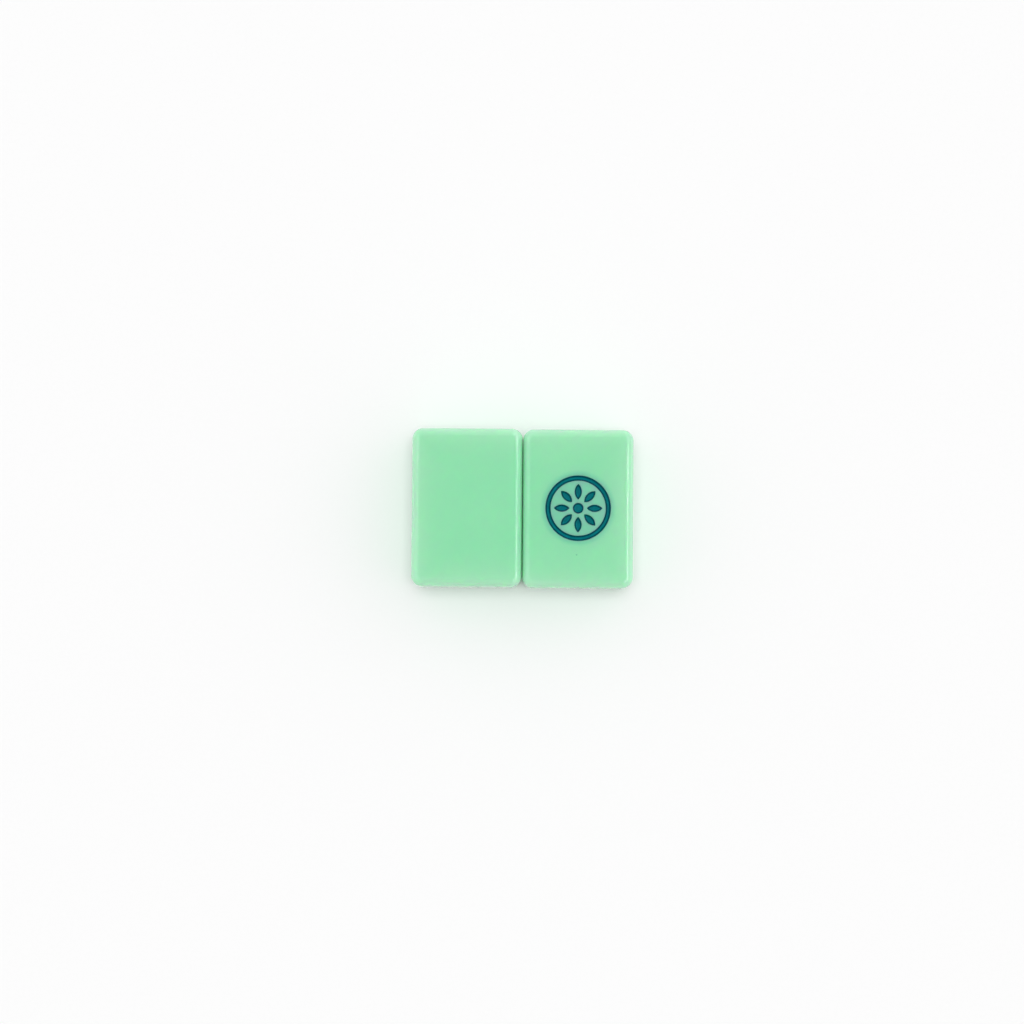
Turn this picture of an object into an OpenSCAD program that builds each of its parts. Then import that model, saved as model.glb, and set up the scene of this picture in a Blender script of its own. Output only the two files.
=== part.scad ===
// Two loose mahjong tiles lying side by side, one face down and one face up.
// Each is a solid block with rounded edges. A figure of a ring, petals and a
// centre dot is carved into its face, and every cut is lined with paint.
// Millimetres, +Z up, origin on the table under the middle of the pair.

/* [Block] */
// Short side of a tile
tile_w = 22.2; // [18:0.1:28]
// Long side of a tile
tile_l = 31.8; // [26:0.1:42]
// Thickness of a tile, from its back to its face
tile_t = 12.7; // [8:0.1:20]
// Radius of the four upright corners, seen from above
corner_r = 2.2; // [2:0.1:4]
// Radius of the edges around the face and the back
edge_r = 1.7; // [0.6:0.1:1.8]

/* [Pair] */
// Space between the two tiles
tile_gap = 0.1; // [0.05:0.05:5]
// How much nearer the front the face-up tile lies
stagger = 0.1; // [0:0.1:5]

/* [Engraving] */
// Depth of the cuts below the face
cut_depth = 0.7; // [0.4:0.05:0.8]
// Included angle of the V-shaped cutter, which leans the walls of each cut
cutter_angle = 60; // [40:1:62]
// Thickness of the paint, measured upright
paint_t = 0.12; // [0.05:0.01:0.2]

/* [Figure] */
// Outer diameter of the ring, at the face
ring_d = 13.2; // [12:0.1:15]
// Width of the ring, at the face
ring_w = 1.1; // [1:0.05:1.6]
// Diameter of the centre dot, at the face
dot_d = 2.2; // [1.6:0.1:3]
// Number of petals around the dot
petal_count = 8; // [5:1:10]
// Width of a petal at its middle, at the face
petal_w = 1.5; // [1.2:0.05:1.8]
// Uncut land between the tips of the petals and their neighbours
land = 0.6; // [0.4:0.05:0.9]

/* [Hidden] */
$fn = 96;

// The straight stretches between the upright corners
straight_w = tile_w - 2 * corner_r;
straight_l = tile_l - 2 * corner_r;

// How far a wall leans out for each millimetre that it rises
lean = tan(cutter_angle / 2);

// A cutting shape runs this far past the face
overrun = 0.5;

// The petals fill the space between the dot and the ring, less the land at each tip
petal_start = dot_d / 2 + land;
petal_end = ring_d / 2 - ring_w - land;
petal_l = petal_end - petal_start;
petal_mid = (petal_start + petal_end) / 2;

// Each side of a petal is one arc: its radius, and how far its centre lies across the petal
petal_arc_r = (pow(petal_l, 2) + pow(petal_w, 2)) / (4 * petal_w);
petal_arc_offset = petal_arc_r - petal_w / 2;

block_colour = [0.55, 0.87, 0.68];
paint_colour = [0.01, 0.38, 0.41];

// Section of the rim, from the axis of an upright corner out to the side wall
module rim_section() {
    difference() {
        square([corner_r, tile_t]);
        for (end = [0, 1])
            translate([corner_r - edge_r, end * tile_t]) mirror([0, end]) difference() {
                square(edge_r);
                translate([0, edge_r]) circle(edge_r);
            }
    }
}

// The plain block, back down: a core with a rim swept along each side and around each corner
module plain_block() {
    translate([-straight_w / 2, -straight_l / 2, 0]) cube([straight_w, straight_l, tile_t]);
    for (side = [0:3]) {
        along_y = side % 2 == 0;
        reach = along_y ? straight_w : straight_l;
        run = along_y ? straight_l : straight_w;
        rotate([0, 0, 90 * side]) translate([reach / 2, run / 2, 0]) {
            rotate([90, 0, 0]) linear_extrude(run) rim_section();
            rotate_extrude(angle = 90) rim_section();
        }
    }
}

// The cuts have the face at z = 0. A cut is raised by lift and ends at top.

// Round cut with a leaning wall, of radius r at the face
module round_cut(r, lift, top) {
    translate([0, 0, lift - cut_depth])
        cylinder(h = cut_depth + top - lift, r1 = r - cut_depth * lean, r2 = r + (top - lift) * lean);
}

module dot_cut(lift, top) {
    round_cut(dot_d / 2, lift, top);
}

// A petal is what two overlapping round cuts share, so its walls meet in a V at both tips
module petal_cuts(lift, top) {
    for (i = [0:petal_count - 1])
        rotate([0, 0, i * 360 / petal_count]) translate([0, petal_mid, 0]) intersection() {
            translate([petal_arc_offset, 0, 0]) round_cut(petal_arc_r, lift, top);
            translate([-petal_arc_offset, 0, 0]) round_cut(petal_arc_r, lift, top);
        }
}

module ring_cut(lift, top) {
    outer_r = ring_d / 2;
    inner_r = outer_r - ring_w;
    inset = cut_depth * lean;
    flare = (top - lift) * lean;
    rotate_extrude() polygon([
        [inner_r + inset, lift - cut_depth],
        [outer_r - inset, lift - cut_depth],
        [outer_r + flare, top],
        [inner_r - flare, top]
    ]);
}

// The engraved block, back down and face up
module block() {
    color(block_colour) difference() {
        plain_block();
        translate([0, 0, tile_t]) {
            ring_cut(0, overrun);
            petal_cuts(0, overrun);
            dot_cut(0, overrun);
        }
    }
}

// Each paint lining fills its cut up to the face, less the same cut raised by the paint's thickness

module ring_paint() {
    color(paint_colour) translate([0, 0, tile_t]) difference() {
        ring_cut(0, 0);
        ring_cut(paint_t, overrun);
    }
}

module petal_paint() {
    color(paint_colour) translate([0, 0, tile_t]) difference() {
        petal_cuts(0, 0);
        petal_cuts(paint_t, overrun);
    }
}

module dot_paint() {
    color(paint_colour) translate([0, 0, tile_t]) difference() {
        dot_cut(0, 0);
        dot_cut(paint_t, overrun);
    }
}

// Places of the two tiles: the left one is turned over onto its face
module face_down() {
    translate([-(tile_w + tile_gap) / 2, stagger / 2, tile_t]) rotate([0, 180, 0]) children();
}

module face_up() {
    translate([(tile_w + tile_gap) / 2, -stagger / 2, 0]) children();
}

face_down() block();  // face_down_block
face_down() ring_paint();  // face_down_ring_paint
face_down() petal_paint();  // face_down_petal_paint
face_down() dot_paint();  // face_down_dot_paint
face_up() block();  // face_up_block
face_up() ring_paint();  // face_up_ring_paint
face_up() petal_paint();  // face_up_petal_paint
face_up() dot_paint();  // face_up_dot_paint
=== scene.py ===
import math

import bmesh
import bpy
from mathutils import Matrix, Vector


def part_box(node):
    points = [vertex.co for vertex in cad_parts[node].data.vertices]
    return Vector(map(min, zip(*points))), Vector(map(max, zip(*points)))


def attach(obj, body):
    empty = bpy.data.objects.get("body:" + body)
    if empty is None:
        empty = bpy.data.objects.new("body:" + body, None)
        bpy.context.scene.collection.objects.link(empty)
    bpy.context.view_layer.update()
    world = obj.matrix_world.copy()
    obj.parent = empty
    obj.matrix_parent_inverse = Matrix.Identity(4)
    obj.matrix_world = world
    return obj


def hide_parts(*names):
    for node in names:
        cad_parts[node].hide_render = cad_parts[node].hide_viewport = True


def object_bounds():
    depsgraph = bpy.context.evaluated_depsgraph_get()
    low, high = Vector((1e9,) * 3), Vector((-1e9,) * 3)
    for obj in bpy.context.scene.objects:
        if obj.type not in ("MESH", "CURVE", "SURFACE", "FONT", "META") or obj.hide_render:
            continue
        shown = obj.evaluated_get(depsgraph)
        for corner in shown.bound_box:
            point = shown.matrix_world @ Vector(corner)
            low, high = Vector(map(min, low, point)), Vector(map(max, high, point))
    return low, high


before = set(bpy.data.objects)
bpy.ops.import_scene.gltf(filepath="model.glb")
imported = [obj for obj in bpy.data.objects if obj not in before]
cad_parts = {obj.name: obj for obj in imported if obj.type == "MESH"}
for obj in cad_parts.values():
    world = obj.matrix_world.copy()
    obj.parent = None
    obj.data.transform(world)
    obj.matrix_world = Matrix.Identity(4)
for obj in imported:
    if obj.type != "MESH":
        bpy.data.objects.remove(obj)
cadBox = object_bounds()
mm = 0.001
noiseSpan = (0.3, 0.7)    # nearly all values of a noise texture lie between these

bpy.context.scene.view_settings.view_transform = "Standard"


def linear(hexColour):
    channels = [int(hexColour[i:i + 2], 16) / 255 for i in (1, 3, 5)]
    return [c / 12.92 if c <= 0.04045 else ((c + 0.055) / 1.055) ** 2.4 for c in channels] + [1.0]


def addNode(tree, kind, settings, links=None):
    node = tree.nodes.new(kind)
    for name, value in settings.items():
        if isinstance(name, int) or name in node.inputs:
            node.inputs[name].default_value = value
        else:
            setattr(node, name, value)
    for name, source in (links or {}).items():
        tree.links.new(source, node.inputs[name])
    return node


def newMaterial(name):
    material = bpy.data.materials.new(name)
    material.use_nodes = True
    material.node_tree.nodes.clear()
    return material, material.node_tree


# Mint resin, cast and polished: light soaks in and comes out again a millimetre or two away,
# so the rounded edges glow, shadows inside the block are soft, and the skin keeps a clear gloss.
# Beside that, a glow is painted on the pair's outer edges and shade is painted round each figure.
resin = {
    "light": "#9CE6B9",
    "deep": "#98E4B7",
    "tintSpan": (0.4, 0.85),         # clouds and grain together, from the deep tint to the light one
    "cloud": 9.0,                    # mm across a cloud of pigment
    "grain": 0.35,                   # mm, the pigment's fine grain, drawn coarse enough to show
    "grainShare": 0.25,              # how much the grain counts beside the clouds
    "edge": "#B6E4C7",               # painted glow: the pair's outer edges lighter, standing in for light that reaches them from the side
    "edgeGlowReach": 2.4,                # mm over which that painted glow fades
    "figureShade": "#86E2B4",            # painted shade round the figure, standing in for light that the dark paint takes up inside the resin
    "figureShadeReach": (0.2, 1.3),        # mm outside the ring over which that painted shade fades
    "speck": "#4FA383",
    "speckPlace": (10.9, -9.4, 12.7),    # mm, a fleck in the face-up tile, below its figure
    "speckRadius": 0.22,             # mm
    "speckCore": 0.3,                # share of that radius inside its soft edge
    "speckStrength": 0.5,
    "scatter": (1.2, 3.0, 1.5),      # mm that red, green and blue travel inside
    "ior": 1.56,
    "roughness": (0.03, 0.07),
    "wear": 4.8,                     # mm across a patch that is polished more or less
    "peel": 1.6,                     # mm between the soft waves that polishing leaves
    "peelHeight": 0.0006,            # mm
}


def mintResin():
    material, tree = newMaterial("polished mint resin")
    place = addNode(tree, "ShaderNodeTexCoord", {}).outputs["Object"]
    cloud = addNode(tree, "ShaderNodeTexNoise", {"Scale": 1 / (resin["cloud"] * mm), "Detail": 3.0},
                    {"Vector": place})
    grain = addNode(tree, "ShaderNodeTexNoise", {"Scale": 1 / (resin["grain"] * mm), "Detail": 2.0},
                    {"Vector": place})
    tint = addNode(tree, "ShaderNodeMath", {"operation": "MULTIPLY_ADD", 1: resin["grainShare"]},
                   {0: grain.outputs["Fac"], 2: cloud.outputs["Fac"]})
    mint = addNode(tree, "ShaderNodeValToRGB", {}, {"Fac": tint.outputs[0]})
    mint.color_ramp.elements[0].position = resin["tintSpan"][0]
    mint.color_ramp.elements[0].color = linear(resin["deep"])
    mint.color_ramp.elements[1].position = resin["tintSpan"][1]
    mint.color_ramp.elements[1].color = linear(resin["light"])

    # one dark fleck, with a soft edge
    fleckPlace = [c * mm for c in resin["speckPlace"]]
    away = addNode(tree, "ShaderNodeVectorMath", {"operation": "DISTANCE", 1: fleckPlace}, {0: place})
    fleck = addNode(tree, "ShaderNodeMapRange",
                    {"From Min": resin["speckCore"] * resin["speckRadius"] * mm,
                     "From Max": resin["speckRadius"] * mm,
                     "To Min": resin["speckStrength"], "To Max": 0.0},
                    {"Value": away.outputs["Value"]})
    spotted = addNode(tree, "ShaderNodeMix", {"data_type": "RGBA", 7: linear(resin["speck"])},
                      {0: fleck.outputs[0], 6: mint.outputs["Color"]})

    # how near a point is to either tile's figure, measured from the figure's middle on the face
    reaches = []
    for side, end in (("face_down", 0), ("face_up", 1)):
        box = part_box(side + "_ring_paint")
        middle = (box[0] + box[1]) / 2
        middle.z = box[end].z
        reaches.append(addNode(tree, "ShaderNodeVectorMath", {"operation": "DISTANCE", 1: middle},
                               {0: place}))
    reach = addNode(tree, "ShaderNodeMath", {"operation": "MINIMUM"},
                    {0: reaches[0].outputs["Value"], 1: reaches[1].outputs["Value"]})
    # painted shade: the resin darker near each figure, fading out just beyond the ring
    figureShadeMask = addNode(tree, "ShaderNodeMapRange",
                    {"interpolation_type": "SMOOTHSTEP",
                     "From Min": ringOuter + resin["figureShadeReach"][0] * mm,
                     "From Max": ringOuter + resin["figureShadeReach"][1] * mm,
                     "To Min": 1.0, "To Max": 0.0},
                    {"Value": reach.outputs[0]})
    figureShade = addNode(tree, "ShaderNodeMix", {"data_type": "RGBA", 7: linear(resin["figureShade"])},
                      {0: figureShadeMask.outputs[0], 6: spotted.outputs[2]})

    # how far a point is from the pair's nearest outer edge: the second smallest way to a side of
    # the box around the pair
    centre = (cadBox[0] + cadBox[1]) / 2
    half = (cadBox[1] - cadBox[0]) / 2
    inside = addNode(tree, "ShaderNodeVectorMath", {"operation": "SUBTRACT", 1: centre}, {0: place})
    folded = addNode(tree, "ShaderNodeVectorMath", {"operation": "ABSOLUTE"}, {0: inside.outputs[0]})
    ways = addNode(tree, "ShaderNodeVectorMath", {"operation": "SUBTRACT", 0: half},
                   {1: folded.outputs[0]})
    way = addNode(tree, "ShaderNodeSeparateXYZ", {}, {0: ways.outputs[0]})
    lower = addNode(tree, "ShaderNodeMath", {"operation": "MINIMUM"},
                    {0: way.outputs["X"], 1: way.outputs["Y"]})
    upper = addNode(tree, "ShaderNodeMath", {"operation": "MAXIMUM"},
                    {0: way.outputs["X"], 1: way.outputs["Y"]})
    capped = addNode(tree, "ShaderNodeMath", {"operation": "MINIMUM"},
                     {0: upper.outputs[0], 1: way.outputs["Z"]})
    toEdge = addNode(tree, "ShaderNodeMath", {"operation": "MAXIMUM"},
                     {0: lower.outputs[0], 1: capped.outputs[0]})
    fade = addNode(tree, "ShaderNodeMath", {"operation": "MULTIPLY", 1: -1 / (resin["edgeGlowReach"] * mm)},
                   {0: toEdge.outputs[0]})
    pale = addNode(tree, "ShaderNodeMath", {"operation": "EXPONENT"}, {0: fade.outputs[0]})
    # painted glow: towards the pair's outer edges the resin is mixed to a paler colour, for light that
    # reaches them from the side
    colour = addNode(tree, "ShaderNodeMix", {"data_type": "RGBA", 7: linear(resin["edge"])},
                     {0: pale.outputs[0], 6: figureShade.outputs[2]})

    wear = addNode(tree, "ShaderNodeTexNoise", {"Scale": 1 / (resin["wear"] * mm), "Detail": 6.0},
                   {"Vector": place})
    rough = addNode(tree, "ShaderNodeMapRange",
                    {"From Min": noiseSpan[0], "From Max": noiseSpan[1],
                     "To Min": resin["roughness"][0], "To Max": resin["roughness"][1]},
                    {"Value": wear.outputs["Fac"]})
    peel = addNode(tree, "ShaderNodeTexNoise", {"Scale": 1 / (resin["peel"] * mm), "Detail": 1.0},
                   {"Vector": place})
    bump = addNode(tree, "ShaderNodeBump", {"Strength": 1.0, "Distance": resin["peelHeight"] * mm},
                   {"Height": peel.outputs["Fac"]})
    skin = addNode(tree, "ShaderNodeBsdfPrincipled",
                   {"IOR": resin["ior"], "Subsurface Weight": 1.0, "Subsurface Scale": mm,
                    "Subsurface Radius": resin["scatter"], "subsurface_method": "RANDOM_WALK"},
                   {"Base Color": colour.outputs[2], "Roughness": rough.outputs[0],
                    "Normal": bump.outputs["Normal"]})
    addNode(tree, "ShaderNodeOutputMaterial", {}, {"Surface": skin.outputs[0]})
    return material


# Teal enamel, run into the cuts with a brush and wiped off the face: dense colour with a low sheen
# and faint brush marks. Shade is painted on the walls of a cut, and a highlight as a lighter line at
# their foot.
paint = {
    # painted shade on the walls of a cut, a painted highlight at their foot, and the paint's own colour
    # on its floor
    "wall": "#005A63",
    "foot": "#00929A",
    "footHighlightAt": 0.3,                   # where that painted highlight runs, as a share of the hollow's height
    "floor": "#007A82",
    "streak": "#E6E6E6",             # what the brush marks leave of these colours
    "streakSpan": (0.35, 0.7),       # the marks' noise, from the most streaked to the clean paint
    "ior": 1.48,
    "sheen": 0.06,                   # its wiped, dulled skin mirrors little
    "roughness": (0.30, 0.45),
    "brush": 0.9,                    # mm between the brush's soft ridges
    "ridge": 0.004,                  # mm
}


def tealEnamel():
    material, tree = newMaterial("brushed teal enamel")
    place = addNode(tree, "ShaderNodeTexCoord", {}).outputs["Object"]
    flow = addNode(tree, "ShaderNodeTexNoise", {"Scale": 1 / (paint["brush"] * mm), "Detail": 3.0},
                   {"Vector": place})

    # how far a point is up the hollow between floor and wall, in a tile that lies either way up
    middle = (cadBox[0].z + cadBox[1].z) / 2
    floor = cadBox[1].z - middle - figure["depth"] + figure["paint"]
    hollow = figure["poolRadius"] * (1 - math.sin(math.atan(figure["lean"])))
    height = addNode(tree, "ShaderNodeSeparateXYZ", {}, {0: place})
    level = addNode(tree, "ShaderNodeMath", {"operation": "SUBTRACT", 1: middle},
                    {0: height.outputs["Z"]})
    outward = addNode(tree, "ShaderNodeMath", {"operation": "ABSOLUTE"}, {0: level.outputs[0]})
    rise = addNode(tree, "ShaderNodeMapRange", {"From Min": floor, "From Max": floor + hollow},
                   {"Value": outward.outputs[0]})
    # painted shade darkening up the walls, with a painted highlight near their foot, by height in the
    # hollow
    teal = addNode(tree, "ShaderNodeValToRGB", {}, {"Fac": rise.outputs[0]})
    teal.color_ramp.elements[0].color = linear(paint["floor"])
    teal.color_ramp.elements[1].color = linear(paint["wall"])
    teal.color_ramp.elements.new(paint["footHighlightAt"]).color = linear(paint["foot"])

    streak = addNode(tree, "ShaderNodeValToRGB", {}, {"Fac": flow.outputs["Fac"]})
    streak.color_ramp.elements[0].position = paint["streakSpan"][0]
    streak.color_ramp.elements[0].color = linear(paint["streak"])
    streak.color_ramp.elements[1].position = paint["streakSpan"][1]
    colour = addNode(tree, "ShaderNodeMix", {"data_type": "RGBA", "blend_type": "MULTIPLY", 0: 1.0},
                     {6: teal.outputs["Color"], 7: streak.outputs["Color"]})
    rough = addNode(tree, "ShaderNodeMapRange",
                    {"From Min": noiseSpan[0], "From Max": noiseSpan[1],
                     "To Min": paint["roughness"][0], "To Max": paint["roughness"][1]},
                    {"Value": flow.outputs["Fac"]})
    bump = addNode(tree, "ShaderNodeBump", {"Strength": 1.0, "Distance": paint["ridge"] * mm},
                   {"Height": flow.outputs["Fac"]})
    skin = addNode(tree, "ShaderNodeBsdfPrincipled",
                   {"IOR": paint["ior"], "Specular IOR Level": paint["sheen"]},
                   {"Base Color": colour.outputs[2], "Roughness": rough.outputs[0],
                    "Normal": bump.outputs["Normal"]})
    addNode(tree, "ShaderNodeOutputMaterial", {}, {"Surface": skin.outputs[0]})
    return material


# One tile stands with its back on z = 0 and its face up, until it is put in its place.
tile = {
    "cornerRadius": 2.2 * mm,
    "edgeRadius": 1.7 * mm,
    "cornerSegments": 14,
    "edgeSegments": 12,
}

figure = {
    "depth": 0.7 * mm,
    "lean": math.tan(math.radians(30)),   # the cutter's V is 60 degrees wide
    "ringDiameter": 13.2 * mm,
    "ringWidth": 1.1 * mm,
    "dotDiameter": 2.2 * mm,
    "petalCount": 8,
    "petalWidth": 1.5 * mm,
    "land": 0.6 * mm,                     # uncut resin at the tips of the petals
    "rimRadius": 0.09 * mm,               # polishing rounds the rim of each cut
    "paint": 0.12 * mm,                   # thickness of the paint, measured upright
    "poolRadius": 0.24 * mm,              # the paint's hollow foot, where it runs together
    "arcSteps": 5,
    "spinSteps": 144,
}

# Points nearer than this are one point: where a petal is cut, where it is mirrored, and where
# finished shapes meet. Edges that bend more than sharpAngle degrees stay sharp.
cutDistance = 0.00001 * mm
mirrorDistance = 0.0001 * mm
seamDistance = 0.0005 * mm
sharpAngle = 32

ringOuter = figure["ringDiameter"] / 2
ringInner = ringOuter - figure["ringWidth"]
dotRadius = figure["dotDiameter"] / 2
petalStart = dotRadius + figure["land"]
petalEnd = ringInner - figure["land"]
petalLength = petalEnd - petalStart
petalArc = (petalLength ** 2 + figure["petalWidth"] ** 2) / (4 * figure["petalWidth"])
petalOffset = petalArc - figure["petalWidth"] / 2


def roundCorner(before, corner, after, radius):
    # the arc of that radius that touches both legs of a corner
    before, corner, after = Vector(before), Vector(corner), Vector(after)
    legs = [(p - corner).normalized() for p in (before, after)]
    half = legs[0].angle(legs[1]) / 2
    centre = corner + (legs[0] + legs[1]).normalized() * radius / math.sin(half)
    first, last = [(corner + leg * radius / math.tan(half) - centre).normalized() for leg in legs]
    steps = figure["arcSteps"]
    return [centre + radius * first.slerp(last, i / steps) for i in range(steps + 1)]


def cutWall(radius, inward):
    # section of a cut's wall, from the face down to the floor: inward is 1 where the wall leans
    # towards the axis on its way down, and -1 where it leans away
    rim = (radius, 0)
    foot = (radius - inward * figure["depth"] * figure["lean"], -figure["depth"])
    face = (radius + inward * mm, 0)
    return roundCorner(face, rim, foot, figure["rimRadius"]) + [Vector(foot)]


def paintWall(radius, inward):
    # section of the paint on that wall: up the resin, over the paint's edge and down to its floor
    wall = cutWall(radius, inward)
    top, foot = wall[-2], wall[-1]
    lift = Vector((0, figure["paint"]))
    edge = top - Vector((inward * figure["paint"] * figure["lean"], 0))
    floor = foot + lift - Vector((inward * mm, 0))
    return [foot, top, edge] + roundCorner(edge, foot + lift, floor, figure["poolRadius"])


def paintSection(radius):
    # the same with its floor, from the axis under the paint to the axis on top of it
    under = Vector((0, -figure["depth"]))
    onTop = Vector((0, figure["paint"] - figure["depth"]))
    return [under] + paintWall(radius, 1) + [onTop]


def spinProfile(profile, closed=False):
    bm = bmesh.new()
    verts = [bm.verts.new((r, 0, z)) for r, z in profile]
    following = verts[1:] + verts[:1] if closed else verts[1:]
    edges = [bm.edges.new(pair) for pair in zip(verts, following)]
    bmesh.ops.spin(bm, geom=verts + edges, cent=(0, 0, 0), axis=(0, 0, 1), angle=math.tau,
                   steps=figure["spinSteps"], use_merge=True)
    return bm


def petalFrom(bm, offset):
    # a petal is what two round shapes share: half of one, cut at the middle and mirrored
    bmesh.ops.translate(bm, verts=bm.verts, vec=(-offset, 0, 0))
    bmesh.ops.bisect_plane(bm, geom=bm.verts[:] + bm.edges[:] + bm.faces[:], dist=cutDistance,
                           plane_co=(0, 0, 0), plane_no=(1, 0, 0), clear_inner=True)
    bmesh.ops.mirror(bm, geom=bm.verts[:] + bm.edges[:] + bm.faces[:], matrix=Matrix(),
                     merge_dist=mirrorDistance, axis="X")
    return bm


def petalPlaces():
    outward = Matrix.Translation((0, (petalStart + petalEnd) / 2, 0))
    for i in range(figure["petalCount"]):
        yield Matrix.Rotation(i * math.tau / figure["petalCount"], 4, "Z") @ outward


def addShape(bm, shape, matrix):
    bmesh.ops.transform(shape, matrix=matrix, verts=shape.verts)
    carrier = bpy.data.meshes.new("carrier")
    shape.to_mesh(carrier)
    shape.free()
    bm.from_mesh(carrier)
    bpy.data.meshes.remove(carrier)


def finishMesh(bm, name, material, placing):
    bmesh.ops.remove_doubles(bm, verts=bm.verts, dist=seamDistance)
    bmesh.ops.recalc_face_normals(bm, faces=bm.faces)
    bmesh.ops.transform(bm, matrix=placing, verts=bm.verts)
    mesh = bpy.data.meshes.new(name)
    bm.to_mesh(mesh)
    bm.free()
    mesh.shade_smooth()
    mesh.set_sharp_from_angle(angle=math.radians(sharpAngle))
    mesh.materials.append(material)
    piece = bpy.data.objects.new(name, mesh)
    bpy.context.scene.collection.objects.link(piece)
    weighted = piece.modifiers.new("flat faces stay flat", "WEIGHTED_NORMAL")
    weighted.keep_sharp = True
    return piece


def resinBlock(width, length, thickness):
    bm = bmesh.new()
    bmesh.ops.create_cube(bm, size=1)
    bmesh.ops.scale(bm, vec=(width, length, thickness), verts=bm.verts)
    bmesh.ops.translate(bm, vec=(0, 0, thickness / 2), verts=bm.verts)
    upright = [e for e in bm.edges if abs(e.verts[0].co.z - e.verts[1].co.z) > mm]
    bmesh.ops.bevel(bm, geom=upright, offset=tile["cornerRadius"], offset_type="OFFSET",
                    affect="EDGES", segments=tile["cornerSegments"], profile=0.5, material=-1)
    level = [e for e in bm.edges if abs(e.verts[0].co.z - e.verts[1].co.z) < 0.01 * mm]
    bmesh.ops.bevel(bm, geom=level, offset=tile["edgeRadius"], offset_type="OFFSET",
                    affect="EDGES", segments=tile["edgeSegments"], profile=0.5, material=-1)
    face = max(bm.faces, key=lambda f: f.calc_center_median().z)
    bmesh.ops.delete(bm, geom=[face], context="FACES_ONLY")

    # the cuts go where the face was, and a new face is filled in between their rims and its own
    atFace = Matrix.Translation((0, 0, thickness))
    ring = cutWall(ringOuter, 1) + cutWall(ringInner, -1)[::-1]
    addShape(bm, spinProfile(ring), atFace)
    axis = Vector((0, -figure["depth"]))
    addShape(bm, spinProfile(cutWall(dotRadius, 1) + [axis]), atFace)
    for place in petalPlaces():
        shape = petalFrom(spinProfile(cutWall(petalArc, 1) + [axis]), petalOffset)
        addShape(bm, shape, atFace @ place)
    bmesh.ops.remove_doubles(bm, verts=bm.verts, dist=seamDistance)
    rims = [e for e in bm.edges if e.is_boundary]
    bmesh.ops.triangle_fill(bm, edges=rims, use_beauty=True, normal=(0, 0, 1))
    return bm


def ringPaint(thickness):
    bm = bmesh.new()
    ring = paintWall(ringOuter, 1) + paintWall(ringInner, -1)[::-1]
    addShape(bm, spinProfile(ring, closed=True), Matrix.Translation((0, 0, thickness)))
    return bm


def petalPaint(thickness):
    bm = bmesh.new()
    for place in petalPlaces():
        shape = petalFrom(spinProfile(paintSection(petalArc)), petalOffset)
        addShape(bm, shape, Matrix.Translation((0, 0, thickness)) @ place)
    return bm


def dotPaint(thickness):
    bm = bmesh.new()
    addShape(bm, spinProfile(paintSection(dotRadius)), Matrix.Translation((0, 0, thickness)))
    return bm


resinSkin = mintResin()
enamel = tealEnamel()
print("materials made")

for side, turned in (("face_down", True), ("face_up", False)):
    low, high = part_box(side + "_block")
    width, length, thickness = high - low
    middle = (low + high) / 2
    placing = Matrix.Translation((middle.x, middle.y, 0))
    if turned:
        placing = Matrix.Translation((middle.x, middle.y, thickness)) @ Matrix.Rotation(math.pi, 4, "Y")
    shapes = {
        "block": (resinBlock(width, length, thickness), resinSkin, "tile_resin"),
        "ring_paint": (ringPaint(thickness), enamel, "figure_paint"),
        "petal_paint": (petalPaint(thickness), enamel, "figure_paint"),
        "dot_paint": (dotPaint(thickness), enamel, "figure_paint"),
    }
    for kind, (bm, material, slotName) in shapes.items():
        node = side + "_" + kind
        piece = finishMesh(bm, node + "_finished", material, placing)
        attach(piece, side + "_tile")
        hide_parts(node)
    print(side, "tile made")


def seenRays(tree):
    # 1 for what the camera sees, mirrored or through glass as well, and 0 for light on its way
    # to a surface
    light = addNode(tree, "ShaderNodeLightPath", {})
    seen = addNode(tree, "ShaderNodeMath", {"operation": "MAXIMUM"},
                   {0: light.outputs["Is Camera Ray"], 1: light.outputs["Is Glossy Ray"]})
    shown = addNode(tree, "ShaderNodeMath", {"operation": "MAXIMUM"},
                    {0: seen.outputs[0], 1: light.outputs["Is Transmission Ray"]})
    return shown.outputs[0]


# White card under the tiles: matt, with a faint tooth, and lost in the pale surround farther off.
card = {
    "white": "#FAFAFA",
    "shade": "#F8F8F8",
    "tooth": 0.8,            # mm
    "roughness": 0.95,
    "radius": 6.0,           # m
    "segments": 96,
    "fade": (0.15, 0.6),     # m from the tiles, where it starts to fade and is lost
    "clear": 0.02 * mm,      # a hair under the tiles, so that two faces never share a plane
}
surround = "#FAFAFA"


def whiteCard():
    material, tree = newMaterial("matt white card")
    place = addNode(tree, "ShaderNodeTexCoord", {}).outputs["Object"]
    tooth = addNode(tree, "ShaderNodeTexNoise", {"Scale": 1 / (card["tooth"] * mm), "Detail": 2.0},
                    {"Vector": place})
    white = addNode(tree, "ShaderNodeValToRGB", {}, {"Fac": tooth.outputs["Fac"]})
    white.color_ramp.elements[0].color = linear(card["shade"])
    white.color_ramp.elements[1].color = linear(card["white"])
    skin = addNode(tree, "ShaderNodeBsdfPrincipled",
                   {"Roughness": card["roughness"], "Specular IOR Level": 0.0},
                   {"Base Color": white.outputs["Color"]})
    away = addNode(tree, "ShaderNodeVectorMath", {"operation": "LENGTH"}, {0: place})
    fade = addNode(tree, "ShaderNodeMapRange",
                   {"interpolation_type": "SMOOTHSTEP",
                    "From Min": card["fade"][0], "From Max": card["fade"][1]},
                   {"Value": away.outputs["Value"]})
    lost = addNode(tree, "ShaderNodeMath", {"operation": "MULTIPLY"},
                   {0: fade.outputs[0], 1: seenRays(tree)})
    haze = addNode(tree, "ShaderNodeEmission", {"Color": linear(surround)})
    both = addNode(tree, "ShaderNodeMixShader", {},
                   {0: lost.outputs[0], 1: skin.outputs[0], 2: haze.outputs[0]})
    addNode(tree, "ShaderNodeOutputMaterial", {}, {"Surface": both.outputs[0]})
    return material


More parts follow.
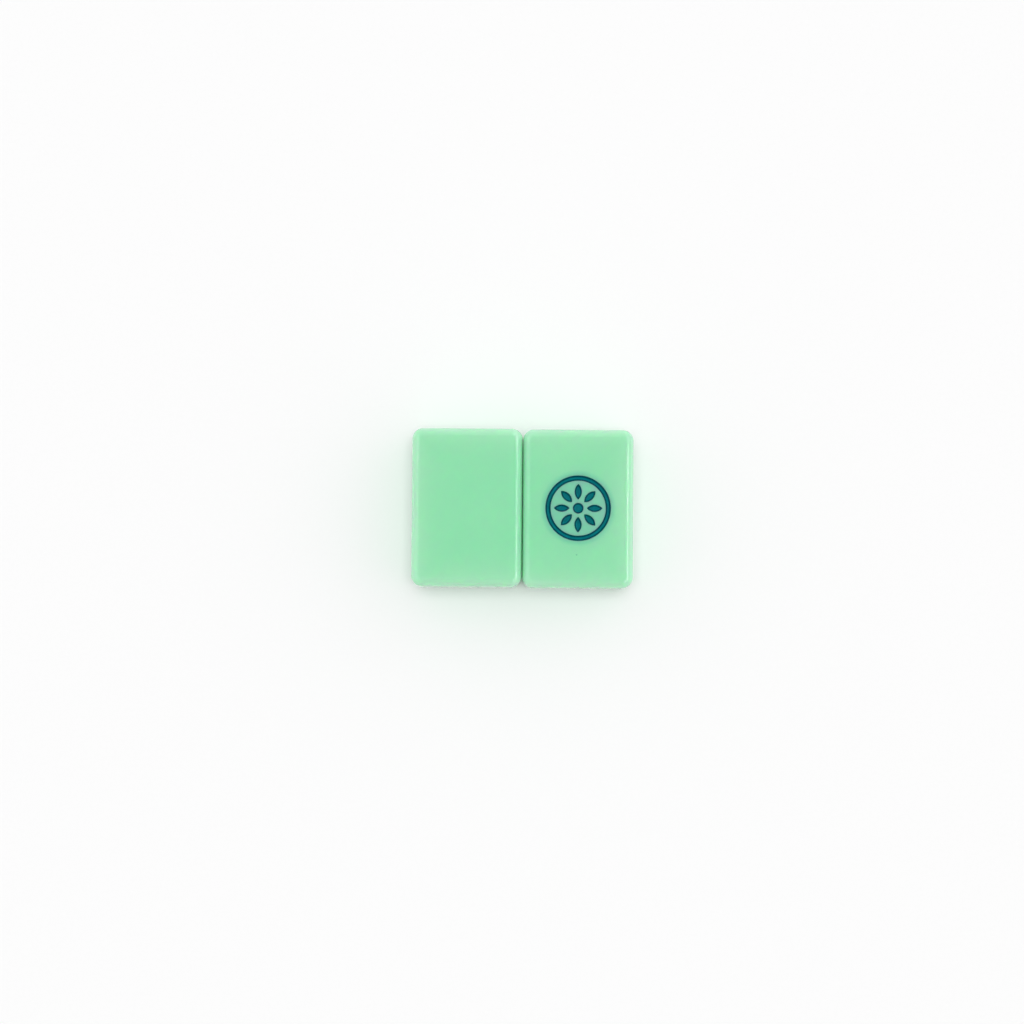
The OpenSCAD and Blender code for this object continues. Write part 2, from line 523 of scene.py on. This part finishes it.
bm = bmesh.new()
bmesh.ops.create_circle(bm, cap_ends=True, segments=card["segments"], radius=card["radius"])
bmesh.ops.translate(bm, verts=bm.verts, vec=(0, 0, -card["clear"]))
floorMesh = bpy.data.meshes.new("floor")
bm.to_mesh(floorMesh)
bm.free()
floorMesh.materials.append(whiteCard())
floor = bpy.data.objects.new("floor", floorMesh)
bpy.context.scene.collection.objects.link(floor)

# Soft boxes hung round the table, all aimed at the tiles. The big one overhead has the camera's
# dark hood in its middle, so the flat faces don't mirror it. The strips only give the edges their
# highlights. Direction, width and length are angles in degrees, as seen from the tiles.
softBoxes = {
    "overhead": {"towards": 90, "height": 89, "wide": 24, "long": 24,
                 "radiance": 5.6, "mirrored": False},
}
for turn in (-40, 0, 40):
    softBoxes["right strip %d" % turn] = {"towards": turn, "height": 49, "wide": 6, "long": 42,
                                          "radiance": 14.0, "lights": False}
    softBoxes["left strip %d" % turn] = {"towards": 180 - turn, "height": 50, "wide": 6, "long": 42,
                                         "radiance": 5.0, "lights": False}
lampDistance = 3.0    # m


def softBox(name, towards, height, wide, long, radiance, mirrored=True, lights=True):
    lamp = bpy.data.lights.new(name + " soft box", "AREA")
    lamp.shape = "RECTANGLE"
    lamp.size = 2 * lampDistance * math.tan(math.radians(long) / 2)
    lamp.size_y = 2 * lampDistance * math.tan(math.radians(wide) / 2)
    lamp.energy = radiance * math.pi * lamp.size * lamp.size_y
    box = bpy.data.objects.new(lamp.name, lamp)
    bpy.context.scene.collection.objects.link(box)
    turn, rise = math.radians(towards), math.radians(height)
    away = Vector((math.cos(turn) * math.cos(rise), math.sin(turn) * math.cos(rise), math.sin(rise)))
    across = Vector((0, 0, 1)).cross(away).normalized()
    aimed = Matrix((across, away.cross(across), away)).transposed().to_4x4()
    box.matrix_world = Matrix.Translation(away * lampDistance) @ aimed
    box.visible_glossy = mirrored
    box.visible_diffuse = lights


for name, settings in softBoxes.items():
    softBox(name, **settings)

# The room: soft light from all round, more from the sides and the back, and a pale surround for
# what is seen and mirrored, up to the dark hood over the table.
room = {
    "light": "#FFFFFF",
    "fill": 0.55,
    "lean": (0.11, 0.22, 0),         # how much lighter it is towards +X and +Y
    "sides": 0.73,                   # more again from the right and the left
    "hood": "#202020",
    "hoodEdge": (0.1, 0.95),         # height on the sky's sphere where the hood begins and is full
}
world = bpy.data.worlds.new("studio")
bpy.context.scene.world = world
world.use_nodes = True
world.cycles.sampling_method = "NONE"    # what a ray sees depends on its kind, so no map is made
tree = world.node_tree
tree.nodes.clear()
sky = addNode(tree, "ShaderNodeTexCoord", {}).outputs["Generated"]
way = addNode(tree, "ShaderNodeSeparateXYZ", {}, {0: sky})
tilt = addNode(tree, "ShaderNodeVectorMath", {"operation": "DOT_PRODUCT", 1: room["lean"]}, {0: sky})
plain = addNode(tree, "ShaderNodeMath", {"operation": "ADD", 1: room["fill"]},
                {0: tilt.outputs["Value"]})
across = addNode(tree, "ShaderNodeMath", {"operation": "MULTIPLY"},
                 {0: way.outputs["X"], 1: way.outputs["X"]})
level = addNode(tree, "ShaderNodeMath", {"operation": "MULTIPLY_ADD", 1: room["sides"]},
                {0: across.outputs[0], 2: plain.outputs[0]})
fill = addNode(tree, "ShaderNodeBackground", {"Color": linear(room["light"])},
               {"Strength": level.outputs[0]})
hood = addNode(tree, "ShaderNodeMapRange",
               {"From Min": room["hoodEdge"][0], "From Max": room["hoodEdge"][1]},
               {"Value": way.outputs["Z"]})
pale = addNode(tree, "ShaderNodeMix",
               {"data_type": "RGBA", 6: linear(surround), 7: linear(room["hood"])},
               {0: hood.outputs[0]})
backdrop = addNode(tree, "ShaderNodeBackground", {}, {"Color": pale.outputs[2]})
both = addNode(tree, "ShaderNodeMixShader", {},
               {0: seenRays(tree), 1: fill.outputs[0], 2: backdrop.outputs[0]})
addNode(tree, "ShaderNodeOutputWorld", {}, {"Surface": both.outputs[0]})
print("floor and lights made")

# The camera looks down from just in front of the tiles.
view = {
    "distance": 550 * mm,
    "elevation": 86.8,       # degrees
    "roll": 0.47,            # degrees
    "aim": (-2.1 * mm, -0.92 * mm, 12.7 * mm),
    "lens": 96.5,            # mm, on a sensor of this width
    "sensor": 36,
}
lens = bpy.data.cameras.new("camera")
lens.lens = view["lens"]
lens.sensor_width = view["sensor"]
camera = bpy.data.objects.new("camera", lens)
bpy.context.scene.collection.objects.link(camera)
rise = math.radians(view["elevation"])
back = Vector((0, -math.cos(rise), math.sin(rise)))
camera.location = Vector(view["aim"]) + back * view["distance"]
upright = (-back).to_track_quat("-Z", "Y").to_matrix().to_4x4()
camera.rotation_euler = (upright @ Matrix.Rotation(math.radians(view["roll"]), 4, "Z")).to_euler()
bpy.context.scene.camera = camera
print("camera made")
